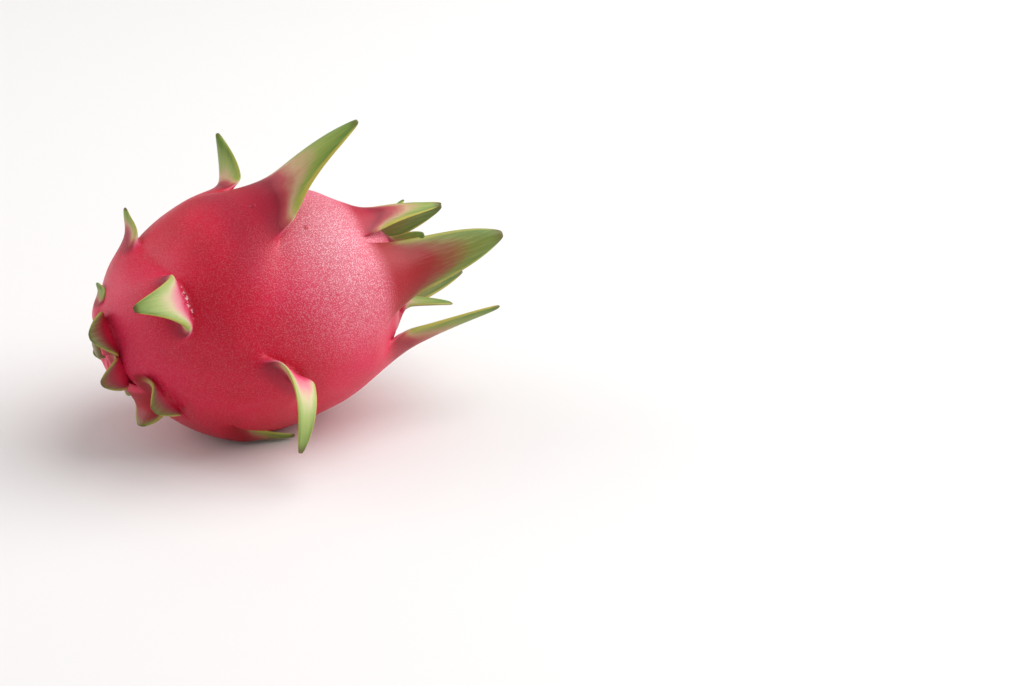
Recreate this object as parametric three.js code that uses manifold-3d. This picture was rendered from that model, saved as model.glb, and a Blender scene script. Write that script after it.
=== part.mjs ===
// A whole dragon fruit, lying on its side. The body is a blunt lemon shape. Its skin runs up
// into leafy scales, short round the stem and long at the crown, so body, scales, stem stub and
// flower stub are one grown piece: a cage of quads is pulled out into each scale, and the whole
// cage is then rounded by one step of Catmull-Clark subdivision.
// Millimetres. +X runs from the stem to the crown, +Z is up, and the surface it lies on is z = 0.
import * as THREE from "three";
import Module from "manifold-3d";
import { mergeVertices } from "three/addons/utils/BufferGeometryUtils.js";

// Body
const BODY_LENGTH = 107;
const BODY_RADIUS = 41;
// How pointed the ends are: a larger taper gives a sharper end
const STEM_TAPER = 1.38;
const CROWN_TAPER = 1.04;
// The stem end is drawn up off the axis by this much, so the body is a little bent
const STEM_RISE = 7;
// The crown end lies higher than the stem end: the axis climbs by this angle from this height,
// which puts the lowest part of the belly a little below z = 0, where it is cut flat
const AXIS_CLIMB = 11;
const STEM_HEIGHT = 27.6;

// Ends: a shallow dimple with a stub in it, as rings of [distance out of the dimple, radius]
const STEM_DIMPLE = 2.4;
const STEM_STUB = [[0.5, 4.2], [3.6, 3.6]];
const CROWN_DIMPLE = 6;
const FLOWER_STUB = [[1, 4.2], [9, 3.2]];

// Cage: rows of vertices round the axis, from the edge of one dimple to the edge of the other
const ROWS = 22;
const COLUMNS = 24;
const FIRST_ALONG = 0.055;
const LAST_ALONG = 0.95;
// How many rows or columns a scale may take its cells away from its own place
const REACH = 2;
const RELAX_STEPS = 60;
const RELAX_DECAY = 0.97;

// Root of a scale: a groove in the skin on its crown side and a swelling on its stem side
const GROOVE_WIDTH = 2.6;
const GROOVE_DEPTH = 0.8;
const SHOULDER_LIFT = 2;
const ROOT_SHARE = 0.42;
const ROOT_SHORTEST = 5;
const ROOT_LONGEST = 11;
const ROOT_SWEEP = 2.5;

// Blade of a scale: how far up it its loops are, how thick and how wide it is along them
const SHORT = 12;
const NARROW = 19;
const SHORT_LOOPS = [0.25, 0.65, 1];
const LONG_LOOPS = [0.12, 0.32, 0.56, 0.8, 1];
const SHORT_THICKNESS = 1.8;
const LONG_THICKNESS = 2.2;
const ROOT_THICKNESS = 0.6;
const EDGE_SHARE = 0.38;
const TIP_THINNING = 0.35;
const TIP_NARROWING = 0.82;
const FLARE = 3.2;
const BLUNTNESS = 4;
const CUP = 0.12;

// Scales. at: where the fold on its crown side meets the skin, along the axis from the stem, and
// around: the angle round it, 0 towards -Y and 90 up. base, mid: widths at the fold and of the
// strap. sag: how far the fold's ends sweep back to the stem. turn: how far it is turned on the
// skin. rise: its angle off the skin as it leaves. bend: how much it curls back to the stem by
// its tip. swing: how much it goes sideways. twist: how much it rolls. cup: how hollow it is.
// flare: how soon it narrows from its base. blunt: how near the tip it keeps its width.
const SCALES = [
  // Round the stem
  { at: 5, around: 42, length: 9.5, base: 21, mid: 17, rise: 86, bend: 20, blunt: 2.5 },
  { at: 8, around: 112, length: 4.5, base: 13, mid: 9, rise: 45, bend: 0, blunt: 2 },
  { at: 6, around: -12, length: 11, base: 15, mid: 14, rise: 98, bend: 25, turn: 15, blunt: 2.5 },
  { at: 8, around: 205, length: 8, base: 17, mid: 10, rise: 75, bend: 20 },
  { at: 6, around: 262, length: 6, base: 15, mid: 10, rise: 25, bend: 0 },
  { at: 11, around: -54, length: 9.5, base: 19, mid: 15, rise: 78, bend: 10, turn: -40, blunt: 3 },
  { at: 15, around: -26, length: 8, base: 23, mid: 16, rise: 100, bend: 35, turn: 38, blunt: 2 },
  // Lower belt
  { at: 25, around: 114, length: 11.5, base: 22, mid: 7, rise: 78, bend: -30 },
  { at: 28, around: 39, length: 22, base: 26, mid: 12, rise: 105, bend: 50, sag: 3, cup: 0.04, blunt: 2 },
  { at: 26, around: 172, length: 17, base: 22, mid: 10, rise: 60, bend: 30 },
  { at: 34, around: -60, length: 20, base: 20, mid: 9, rise: 2, bend: -10, blunt: 2 },
  { at: 30, around: 228, length: 18, base: 22, mid: 10, rise: 26, bend: 0 },
  // Upper belt
  { at: 61, around: 124, length: 22, base: 26, mid: 8, rise: 76, bend: 24, twist: -45, flare: 2, blunt: 2 },
  { at: 64, around: 76, length: 42, base: 34, mid: 13, rise: 57, bend: -28 },
  { at: 51, around: -6, length: 36, base: 21, mid: 8, rise: 65, bend: 118, turn: 40, swing: -30 },
  { at: 54, around: 170, length: 32, base: 25, mid: 11, rise: 50, bend: 20 },
  { at: 64, around: 215, length: 30, base: 25, mid: 11, rise: 50, bend: 34, swing: 30 },
  // Inner crown
  { at: 103, around: 42, length: 13, base: 12, mid: 8, rise: 95, bend: 0 },
  { at: 103, around: 118, length: 15, base: 12, mid: 8, rise: 80, bend: 0 },
  { at: 103, around: 196, length: 26, base: 12, mid: 9, rise: 70, bend: 5 },
  { at: 103, around: 270, length: 22, base: 12, mid: 8, rise: 75, bend: 10 },
  // Outer crown
  { at: 96, around: 17, length: 45, base: 24, mid: 16, rise: 37, bend: 0 },
  { at: 94, around: 69, length: 30, base: 17, mid: 8, rise: 42, bend: -20 },
  { at: 94, around: 166, length: 40, base: 22, mid: 15, rise: 32, bend: 10 },
  { at: 93, around: 228, length: 42, base: 22, mid: 14, rise: 40, bend: 0 },
  { at: 93, around: 304, length: 42, base: 22, mid: 14, rise: 40, bend: 0 },
];

const radians = THREE.MathUtils.degToRad;
const degrees = THREE.MathUtils.radToDeg;

// The body's outline: along goes from 0 at the stem to 1 at the crown, x runs along the axis,
// r is the radius there and z is how far the middle is off the axis
function outline(along) {
  const x = (BODY_LENGTH / 2) * (1 - Math.cos(Math.PI * along));
  const taper = THREE.MathUtils.lerp(STEM_TAPER, CROWN_TAPER, along);
  return {
    x,
    r: BODY_RADIUS * Math.sin(Math.PI * along) ** taper,
    z: STEM_RISE * (1 - x / BODY_LENGTH) ** 3,
  };
}

// How fast the outline changes with along
function outlineSlope(along) {
  const step = 1e-4;
  const a = outline(along - step);
  const b = outline(along + step);
  return { x: (b.x - a.x) / (2 * step), r: (b.r - a.r) / (2 * step), z: (b.z - a.z) / (2 * step) };
}

// How many millimetres of skin one unit of along covers
function skinSpeed(along) {
  const slope = outlineSlope(along);
  return Math.hypot(slope.x, slope.r);
}

// The along of a distance from the stem on the axis
function alongAt(distance) {
  return Math.acos(1 - (2 * distance) / BODY_LENGTH) / Math.PI;
}

// A point of the skin, with the directions to the crown, round the axis and outwards
function skin(along, around, lift = 0) {
  const angle = radians(around);
  const { x, r, z } = outline(along);
  const slope = outlineSlope(along);
  const [cos, sin] = [Math.cos(angle), Math.sin(angle)];
  const crownward = new THREE.Vector3(slope.x, -slope.r * cos, slope.r * sin + slope.z).normalize();
  const round = new THREE.Vector3(0, sin, cos);
  const outward = new THREE.Vector3().crossVectors(crownward, round).normalize();
  const sideways = new THREE.Vector3().crossVectors(outward, crownward);
  const point = new THREE.Vector3(x, -r * cos, r * sin + z);
  return { point: point.addScaledVector(outward, lift), crownward, sideways, outward };
}

const rowAlong = (row) => THREE.MathUtils.lerp(FIRST_ALONG, LAST_ALONG, row / ROWS);
const wrap = (column) => ((column % COLUMNS) + COLUMNS) % COLUMNS;

// The grid of skin vertices: each has a shift from its regular place, and may be pinned
function emptyGrid() {
  const grid = [];
  for (let row = 0; row <= ROWS; row++) {
    grid.push([]);
    for (let column = 0; column < COLUMNS; column++) {
      grid[row].push({ along: 0, around: 0, lift: 0, pinned: row === 0 || row === ROWS });
    }
  }
  grid[0].forEach((v) => (v.lift = -STEM_DIMPLE));
  grid[ROWS].forEach((v) => (v.lift = -CROWN_DIMPLE));
  return grid;
}

// Steps away from a scale's own place, the nearest first
function nudges() {
  const steps = [];
  for (let rows = -REACH; rows <= REACH; rows++) {
    for (let columns = -REACH; columns <= REACH; columns++) steps.push([rows, columns]);
  }
  return steps.sort((a, b) => Math.hypot(...a) - Math.hypot(...b));
}

// Whether a scale can take the cells below a row of the grid without touching another scale
function isFree(grid, fold, first, cells) {
  if (fold < 2 || fold > ROWS - 2) return false;
  for (let row = fold - 1; row <= fold + 1; row++) {
    for (let i = 0; i <= cells; i++) {
      if (grid[row][wrap(first + i)].pinned) return false;
    }
  }
  return true;
}

// Finds the cells that a scale grows from, and pins their corners where its root belongs
function pinRoot(grid, scale) {
  const along = alongAt(scale.at);
  const perUnit = skinSpeed(along);
  const radius = outline(along).r;
  const pitch = 360 / COLUMNS;
  const cells = scale.base > NARROW ? 3 : 2;
  const ownRow = Math.round(((along - FIRST_ALONG) / (LAST_ALONG - FIRST_ALONG)) * ROWS);
  const ownColumn = Math.round(scale.around / pitch - cells / 2);
  const nudge = nudges().find(([rows, columns]) => isFree(grid, ownRow + rows, ownColumn + columns, cells));
  if (!nudge) throw new Error(`no room for the scale at ${scale.at}, ${scale.around}`);
  const fold = ownRow + nudge[0];
  const first = ownColumn + nudge[1];
  const root = THREE.MathUtils.clamp(scale.base * ROOT_SHARE, ROOT_SHORTEST, ROOT_LONGEST);
  const turn = radians(scale.turn ?? 0);
  const rows = [
    { row: fold + 1, back: -GROOVE_WIDTH, lift: 0 },
    { row: fold, back: 0, lift: -GROOVE_DEPTH },
    { row: fold - 1, back: root, lift: SHOULDER_LIFT },
  ];
  for (const { row, back, lift } of rows) {
    for (let i = 0; i <= cells; i++) {
      const across = -1 + (2 * i) / cells;
      const swept = back + (scale.sag ?? ROOT_SWEEP) * across * across;
      const wide = (across * scale.base) / 2;
      const ahead = -swept * Math.cos(turn) - wide * Math.sin(turn);
      const aside = -swept * Math.sin(turn) + wide * Math.cos(turn);
      const column = first + i;
      const v = grid[row][wrap(column)];
      v.along = along + ahead / perUnit - rowAlong(row);
      v.around = scale.around + degrees(aside / radius) - column * pitch;
      v.lift = lift;
      v.pinned = true;
    }
  }
  return { ...scale, along, cells, fold, first, root };
}

// Spreads the pinned shifts smoothly over the free vertices
function relax(grid) {
  for (let step = 0; step < RELAX_STEPS; step++) {
    for (let row = 1; row < ROWS; row++) {
      for (let column = 0; column < COLUMNS; column++) {
        const v = grid[row][column];
        if (v.pinned) continue;
        const near = [
          grid[row - 1][column],
          grid[row + 1][column],
          grid[row][wrap(column - 1)],
          grid[row][wrap(column + 1)],
        ];
        for (const key of ["along", "around", "lift"]) {
          const sum = near.reduce((total, n) => total + n[key], 0);
          v[key] = (RELAX_DECAY * sum) / near.length;
        }
      }
    }
  }
}

// A vector made of a share of each of two directions
function blend(a, shareA, b, shareB) {
  return a.clone().multiplyScalar(shareA).addScaledVector(b, shareB);
}

// The width, thickness and hollow of a scale's blade at a share t of its length
function section(scale, t) {
  const { length, base, mid, root, along } = scale;
  const thin = length > SHORT ? LONG_THICKNESS : SHORT_THICKNESS;
  const { flare = FLARE, blunt = BLUNTNESS } = scale;
  const width = (base - mid) * (1 - t) ** flare + mid * (1 - TIP_NARROWING * t ** blunt);
  return {
    width,
    thick: thin * (1 - TIP_THINNING * t) + (root * ROOT_THICKNESS - thin) * (1 - t) ** 4,
    hollow: (scale.cup ?? CUP) * width * (1 - 0.5 * t),
    // Near the root the blade is wrapped round the body
    wrapped: (width ** 2 / (8 * outline(along).r)) * (1 - t) ** 2,
  };
}

// The loops of vertices that carry a scale from its root to its tip
function bladeLoops(scale) {
  const [rise, bend] = [radians(scale.rise), radians(scale.bend)];
  const [turn, swing] = [radians(scale.turn ?? 0), radians(scale.swing ?? 0)];
  const twist = radians(scale.twist ?? 0);
  const root = skin(scale.along, scale.around, -GROOVE_DEPTH);
  const outward = root.outward;
  const crownward = blend(root.crownward, Math.cos(turn), root.sideways, Math.sin(turn));
  const sideways = blend(root.sideways, Math.cos(turn), root.crownward, -Math.sin(turn));
  const heading = (t) => {
    const lean = blend(crownward, Math.cos(rise + bend * t), outward, Math.sin(rise + bend * t));
    return blend(lean, Math.cos(swing * t), sideways, Math.sin(swing * t));
  };
  const place = root.point.clone();
  let reached = 0;
  const stations = scale.length > SHORT ? LONG_LOOPS : SHORT_LOOPS;
  return stations.map((t) => {
    place.addScaledVector(heading((reached + t) / 2), scale.length * (t - reached));
    reached = t;
    const inner = blend(crownward, Math.sin(rise + bend * t), outward, -Math.cos(rise + bend * t));
    const across = new THREE.Vector3().crossVectors(heading(t), inner).normalize();
    if (across.dot(sideways) < 0) across.negate();
    const wide = blend(across, Math.cos(twist * t), inner, Math.sin(twist * t));
    const face = blend(inner, Math.cos(twist * t), across, -Math.sin(twist * t));
    const { width, thick, hollow, wrapped } = section(scale, t);
    const upper = [];
    const lower = [];
    for (let i = 0; i <= scale.cells; i++) {
      const x = -1 + (2 * i) / scale.cells;
      const edge = Math.abs(x) === 1 ? EDGE_SHARE : 1;
      const top = place.clone().addScaledVector(wide, (x * width) / 2);
      top.addScaledVector(face, hollow * x * x).addScaledVector(outward, -wrapped * x * x);
      upper.push(top);
      lower.push(top.clone().addScaledVector(face, -thick * edge));
    }
    return { upper, lower };
  });
}

// The loop of a root or a station in the order that faces out: down one side, up the other
const loopOf = (upper, lower) => [lower[0], ...upper, ...lower.slice(1).reverse()];

// The cage as points and faces
function cage() {
  const grid = emptyGrid();
  const scales = SCALES.map((scale) => pinRoot(grid, scale));
  relax(grid);
  const points = [];
  const faces = [];
  const add = (point) => points.push(point) - 1;
  const bridge = (loop, next) => {
    loop.forEach((a, i) => {
      const j = (i + 1) % loop.length;
      faces.push([a, loop[j], next[j], next[i]]);
    });
  };

  // Skin vertices
  const ids = grid.map((line, row) =>
    line.map((v, column) => {
      const around = (column * 360) / COLUMNS + v.around;
      return add(skin(rowAlong(row) + v.along, around, v.lift).point);
    }),
  );
  const id = (row, column) => ids[row][wrap(column)];

  // Scales, grown from the cells that they take out of the skin
  const taken = new Set();
  for (const scale of scales) {
    const across = [...Array(scale.cells + 1).keys()];
    across.slice(0, -1).forEach((i) => taken.add(`${scale.fold - 1},${wrap(scale.first + i)}`));
    let loop = loopOf(
      across.map((i) => id(scale.fold, scale.first + i)),
      across.map((i) => id(scale.fold - 1, scale.first + i)),
    );
    let last;
    for (const { upper, lower } of bladeLoops(scale)) {
      last = { upper: upper.map(add), lower: lower.map(add) };
      const next = loopOf(last.upper, last.lower);
      bridge(loop, next);
      loop = next;
    }
    for (let i = 0; i < scale.cells; i++) {
      faces.push([last.lower[i], last.upper[i], last.upper[i + 1], last.lower[i + 1]]);
    }
  }

  // The rest of the skin
  for (let row = 0; row < ROWS; row++) {
    for (let column = 0; column < COLUMNS; column++) {
      if (taken.has(`${row},${column}`)) continue;
      faces.push([id(row, column), id(row + 1, column), id(row + 1, column + 1), id(row, column + 1)]);
    }
  }

  // The stubs that close both ends
  const closeEnd = (row, rings, sign, dimple) => {
    const { x, z } = outline(rowAlong(row));
    const centre = new THREE.Vector3(x - sign * dimple, 0, z);
    let loop = ids[row];
    for (const [out, radius] of rings) {
      const ring = loop.map((_, column) => {
        const angle = radians((column * 360) / COLUMNS);
        const spoke = new THREE.Vector3(sign * out, -radius * Math.cos(angle), radius * Math.sin(angle));
        return add(spoke.add(centre));
      });
      bridge(sign < 0 ? loop : ring, sign < 0 ? ring : loop);
      loop = ring;
    }
    const tip = add(new THREE.Vector3(sign * rings.at(-1)[0], 0, 0).add(centre));
    loop.forEach((a, i) => {
      const b = loop[(i + 1) % COLUMNS];
      faces.push(sign < 0 ? [a, b, tip] : [b, a, tip]);
    });
  };
  closeEnd(0, STEM_STUB, -1, STEM_DIMPLE);
  closeEnd(ROWS, FLOWER_STUB, 1, CROWN_DIMPLE);
  return { points, faces };
}

// One step of Catmull-Clark subdivision
function subdivide({ points, faces }) {
  const made = [];
  const add = (point) => made.push(point) - 1;
  const average = (list) =>
    list.reduce((sum, p) => sum.add(p), new THREE.Vector3()).divideScalar(list.length);
  const centres = faces.map((face) => average(face.map((i) => points[i])));
  const edges = new Map();
  const edgeOf = (a, b) => {
    const key = a < b ? `${a},${b}` : `${b},${a}`;
    if (!edges.has(key)) edges.set(key, { ends: [a, b], centres: [] });
    return edges.get(key);
  };
  const around = points.map(() => ({ centres: [], middles: [] }));
  faces.forEach((face, f) => {
    face.forEach((a, i) => {
      edgeOf(a, face[(i + 1) % face.length]).centres.push(centres[f]);
      around[a].centres.push(centres[f]);
    });
  });
  for (const edge of edges.values()) {
    const ends = edge.ends.map((i) => points[i]);
    const middle = average(ends);
    edge.ends.forEach((i) => around[i].middles.push(middle));
    edge.id = add(average([...ends, ...edge.centres]));
  }
  const corners = points.map((p, i) => {
    const n = around[i].centres.length;
    const moved = average(around[i].centres);
    moved.addScaledVector(average(around[i].middles), 2);
    return add(moved.addScaledVector(p, n - 3).divideScalar(n));
  });
  const middles = centres.map(add);
  const quads = [];
  faces.forEach((face, f) => {
    face.forEach((a, i) => {
      const after = edgeOf(a, face[(i + 1) % face.length]).id;
      const before = edgeOf(a, face.at(i - 1)).id;
      quads.push([corners[a], after, middles[f], before]);
    });
  });
  return { points: made, faces: quads };
}

// Moves each point to where endless subdivision of a mesh of quads would take it
function settle({ points, faces }) {
  const sums = points.map(() => ({ n: 0, edge: new THREE.Vector3(), far: new THREE.Vector3() }));
  for (const face of faces) {
    face.forEach((a, i) => {
      sums[a].n += 1;
      sums[a].edge.add(points[face[(i + 1) % 4]]);
      sums[a].far.add(points[face[(i + 2) % 4]]);
    });
  }
  const settled = points.map((p, i) => {
    const { n, edge, far } = sums[i];
    const moved = p.clone().multiplyScalar(n * n).addScaledVector(edge, 4).add(far);
    return moved.divideScalar(n * (n + 5));
  });
  return { points: settled, faces };
}

// Quads to triangles, each split along its shorter diagonal
function triangulate({ points, faces }) {
  const index = [];
  for (const [a, b, c, d] of faces) {
    const short = points[a].distanceTo(points[c]) < points[b].distanceTo(points[d]);
    index.push(...(short ? [a, b, c, a, c, d] : [a, b, d, b, c, d]));
  }
  const geometry = new THREE.BufferGeometry();
  geometry.setFromPoints(points);
  geometry.setIndex(index);
  return geometry;
}

const wasm = await Module();
wasm.setup();

function toSolid(geometry) {
  const bare = geometry.clone();
  bare.deleteAttribute("normal");
  bare.deleteAttribute("uv");
  const merged = mergeVertices(bare);
  const mesh = new wasm.Mesh({
    numProp: 3,
    vertProperties: merged.getAttribute("position").array,
    triVerts: new Uint32Array(merged.index.array),
  });
  return new wasm.Manifold(mesh);
}

function toGeometry(solid) {
  const mesh = solid.getMesh();
  const geometry = new THREE.BufferGeometry();
  geometry.setAttribute("position", new THREE.BufferAttribute(mesh.vertProperties, 3));
  geometry.setIndex(new THREE.BufferAttribute(mesh.triVerts, 1));
  geometry.computeVertexNormals();
  return geometry;
}

// Cuts away what would sink into the surface, which leaves the flat spot that the fruit lies on
function restOnSurface(geometry) {
  const [width, depth] = [400, 20];
  const slab = new THREE.BoxGeometry(width, width, depth).translate(0, 0, -depth / 2);
  return toGeometry(toSolid(geometry).subtract(toSolid(slab)));
}

// Puts the middle of the bounding box over the origin
function centre(geometry) {
  geometry.computeBoundingBox();
  const { min, max } = geometry.boundingBox;
  geometry.translate(-(min.x + max.x) / 2, -(min.y + max.y) / 2, 0);
}

function fruit() {
  const geometry = triangulate(settle(subdivide(cage())));
  geometry.rotateY(-radians(AXIS_CLIMB));
  geometry.translate(0, 0, STEM_HEIGHT);
  const lying = restOnSurface(geometry);
  centre(lying);
  const red = new THREE.MeshStandardMaterial({ color: 0xc4203f, roughness: 0.45, metalness: 0 });
  const mesh = new THREE.Mesh(lying, red);
  mesh.name = "fruit";
  return mesh;
}

const group = new THREE.Group();
group.add(fruit());
export default group;
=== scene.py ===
# %% [markdown]
# # A whole dragon fruit, lying on its side
# This lesson dresses the imported solid of the fruit. The peel and its leafy scales are one skin,
# grown from a cage of quads, so the look is one smooth mesh with colours that follow each scale
# from its pink root to its green tip. Lengths are in millimetres until the mesh is made.
# The first cell loads the solid and keeps its bounds, which later hold the skin inside its box.

import math

import bpy
import numpy as np
from mathutils import Matrix, Vector, noise


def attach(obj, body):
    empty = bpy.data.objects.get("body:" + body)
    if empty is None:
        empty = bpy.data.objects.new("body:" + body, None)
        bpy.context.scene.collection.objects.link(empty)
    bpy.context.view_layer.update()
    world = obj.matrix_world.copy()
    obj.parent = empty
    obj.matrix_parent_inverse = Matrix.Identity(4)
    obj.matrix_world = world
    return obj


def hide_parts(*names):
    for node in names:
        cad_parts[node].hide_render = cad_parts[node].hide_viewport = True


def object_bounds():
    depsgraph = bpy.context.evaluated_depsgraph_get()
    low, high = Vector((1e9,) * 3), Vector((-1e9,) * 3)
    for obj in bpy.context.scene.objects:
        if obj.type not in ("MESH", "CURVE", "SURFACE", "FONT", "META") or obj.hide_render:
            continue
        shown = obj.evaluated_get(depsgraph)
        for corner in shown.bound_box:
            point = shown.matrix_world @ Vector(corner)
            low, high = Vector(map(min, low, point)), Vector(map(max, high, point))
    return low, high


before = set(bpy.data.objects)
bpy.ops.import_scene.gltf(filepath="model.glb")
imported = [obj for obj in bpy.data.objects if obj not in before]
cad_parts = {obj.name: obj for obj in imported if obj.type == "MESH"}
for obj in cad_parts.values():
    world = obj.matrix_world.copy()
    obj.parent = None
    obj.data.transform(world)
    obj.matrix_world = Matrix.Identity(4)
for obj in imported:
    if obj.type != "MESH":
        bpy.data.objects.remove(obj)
solid_low, solid_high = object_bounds()
print("solid from", tuple(solid_low), "to", tuple(solid_high))

MM = 0.001

# %% [markdown]
# ## The body's outline
# The body is a blunt lemon. It could be sculpted, but a formula keeps it the same length and
# width as the solid: a sine raised to a power gives round ends, and a larger power draws an end
# out. The stem end also rises a little off the axis, so the body is slightly bent.

# %% The lemon
BODY_LENGTH = 107
BODY_RADIUS = 41
STEM_TAPER, CROWN_TAPER = 1.38, 1.04
STEM_RISE = 7
AXIS_CLIMB = math.radians(11)
STEM_HEIGHT = 27.6


def outline(along):
    """x on the axis, radius, and height of the middle, at a share of the way to the crown."""
    x = (BODY_LENGTH / 2) * (1 - math.cos(math.pi * along))
    taper = STEM_TAPER + (CROWN_TAPER - STEM_TAPER) * along
    radius = BODY_RADIUS * math.sin(math.pi * along) ** taper
    return np.array([x, radius, STEM_RISE * (1 - x / BODY_LENGTH) ** 3])


def outline_slope(along, step=1e-4):
    return (outline(along + step) - outline(along - step)) / (2 * step)


def unit(v):
    return v / np.linalg.norm(v)


def skin(along, around, lift=0.0):
    """A point of the skin, and its directions to the crown, sideways and outwards."""
    x, r, z = outline(along)
    dx, dr, dz = outline_slope(along)
    cos, sin = math.cos(math.radians(around)), math.sin(math.radians(around))
    crownward = unit(np.array([dx, -dr * cos, dr * sin + dz]))
    outward = unit(np.cross(crownward, [0, sin, cos]))
    sideways = np.cross(outward, crownward)
    return np.array([x, -r * cos, r * sin + z]) + outward * lift, crownward, sideways, outward


def along_at(distance):
    return math.acos(1 - 2 * distance / BODY_LENGTH) / math.pi


print("widest", round(2 * max(outline(a / 100)[1] for a in range(1, 100)), 1), "mm")

# %% [markdown]
# ## The scales
# Each scale is a leafy tongue that grows out of the skin: short ones round the stem, longer ones
# in two belts, and a crown of long ones. They could be modelled one by one, but a table of where
# each sits, how wide it is and how it bends is quicker to tune. The last four numbers are its
# paint: how early it turns green, how brown its tip is, how yellow its margin is and how pale it
# is. Angles are in degrees. A second table holds what only a few scales have: a root that sags or
# is turned, a tip that twists or swings aside, a flatter face (cup), an outline that narrows
# slower (flare) or stays wide for less of its length (blunt), beads of sap in the axil, or painted
# shade on the body behind the root, dark where the scale shades the skin.

# %% The table of scales
SCALE_FIELDS = "at around length base mid rise bend green tan yellow pale".split()
SCALE_ROWS = [
    # Round the stem
    (5, 42, 9.5, 21, 17, 86, 20, 0.15, 0.3, 0.5, 0.0),
    (8, 112, 4.5, 13, 9, 45, 0, 0.9, 0.4, 0.4, 0.5),
    (6, -12, 11, 15, 14, 98, 25, -0.2, 0.3, 0.5, 0.1),
    (8, 205, 8, 17, 10, 75, 20, 0.5, 0.4, 0.4, 0.4),
    (6, 262, 6, 15, 10, 25, 0, 0.4, 0.4, 0.4, 0.3),
    (11, -54, 9.5, 19, 15, 78, 10, -0.15, 0.5, 0.5, 0.1),
    (15, -26, 8, 23, 16, 100, 35, 0.1, 0.4, 0.7, 0.1),
    # Lower belt
    (25, 114, 11.5, 22, 7, 78, -30, 0.25, 0.9, 0.5, 0.8),
    (28, 39, 22, 26, 12, 105, 50, 0.42, 0.9, 0.6, 1.0),
    (26, 172, 17, 22, 10, 60, 30, 0.5, 0.5, 0.5, 0.6),
    (34, -60, 20, 20, 9, 2, -10, 0.4, 0.9, 0.5, 0.3),
    (30, 228, 18, 22, 10, 26, 0, 0.5, 0.6, 0.5, 0.4),
    # Upper belt
    (61, 124, 22, 26, 8, 76, 24, 0.75, 0.6, 0.4, 1.0),
    (64, 76, 42, 34, 13, 57, -28, 0.5, 0.5, 0.9, 1.0),
    (51, -6, 36, 21, 8, 65, 118, 0.3, 0.7, 0.6, 1.0),
    (54, 170, 32, 25, 11, 50, 20, 0.6, 0.5, 0.7, 0.6),
    (64, 215, 30, 25, 11, 50, 34, 0.6, 0.5, 0.7, 0.5),
    # Inner crown
    (103, 42, 13, 12, 8, 95, 0, 0.6, 0.4, 0.7, 0.8),
    (103, 118, 15, 12, 8, 80, 0, 0.6, 0.4, 0.7, 0.8),
    (103, 196, 26, 12, 9, 70, 5, 0.7, 0.4, 0.7, 0.9),
    (103, 270, 22, 12, 8, 75, 10, 0.7, 0.4, 0.7, 0.9),
    # Outer crown
    (96, 17, 45, 24, 16, 37, 0, 0.4, 0.6, 0.5, 0.0),
    (94, 69, 30, 17, 8, 42, -20, 0.3, 0.6, 0.9, 1.0),
    (94, 166, 40, 22, 15, 32, 10, 0.6, 0.5, 0.8, 0.4),
    (93, 228, 42, 22, 14, 40, 0, 0.5, 0.5, 0.8, 0.3),
    (93, 304, 42, 22, 14, 40, 0, 0.5, 0.5, 0.8, 0.6),
]
USUAL = {"sag": 2.5, "turn": 0, "twist": 0, "swing": 0, "sap": 0, "bruise": 0}
USUAL |= {"cup": 0.12, "flare": 3.2, "blunt": 4}
SCALES = [USUAL | dict(zip(SCALE_FIELDS, row)) for row in SCALE_ROWS]
# What only some scales have, by their place in the table
EXTRAS = {
    0: {"blunt": 2.5},
    1: {"blunt": 2},
    2: {"turn": 15, "blunt": 2.5},
    5: {"turn": -40, "blunt": 3},
    6: {"turn": 38, "blunt": 2},
    8: {"sag": 3, "cup": 0.04, "blunt": 2, "sap": 1},
    10: {"blunt": 2},
    12: {"twist": -45, "flare": 2, "blunt": 2, "sap": 0.8},
    # the broadest scale: painted shade on the body behind its root
    13: {"bruise": 1},
    14: {"turn": 40, "swing": -30, "sap": 0.9},
    16: {"swing": 30},
}
for index, extra in EXTRAS.items():
    SCALES[index].update(extra)
print(len(SCALES), "scales")

# %% [markdown]
# ## The grid of the skin
# The skin starts as rows and columns of vertices round the axis. Every scale pins nine or
# twelve of them where its root belongs, and the others are spread out smoothly between the pins,
# as a net is by the hooks that hold it. That keeps every face of the skin four-sided, which
# subdivision needs for a surface with no pinches.

# %% The pinned net
ROWS, COLUMNS = 22, 24
FIRST_ALONG, LAST_ALONG = 0.055, 0.95
REACH = 2  # the most rows and columns that a root moves to find free cells
BROAD_BASE = 19  # a root wider than this takes three cells, and others take two
STEM_DIMPLE, CROWN_DIMPLE = 2.4, 6
ROOT_SHARE, ROOT_SHORTEST, ROOT_LONGEST = 0.42, 5, 11
GROOVE_WIDTH, GROOVE_DEPTH = 2.6, 0.8
SHOULDER_LIFT = 2
PITCH = 360 / COLUMNS


def row_along(row):
    return FIRST_ALONG + (LAST_ALONG - FIRST_ALONG) * row / ROWS


def is_free(pinned, fold, first, cells):
    if fold < 2 or fold > ROWS - 2:
        return False
    columns = [(first + i) % COLUMNS for i in range(cells + 1)]
    return not pinned[fold - 1 : fold + 2][:, columns].any()


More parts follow.
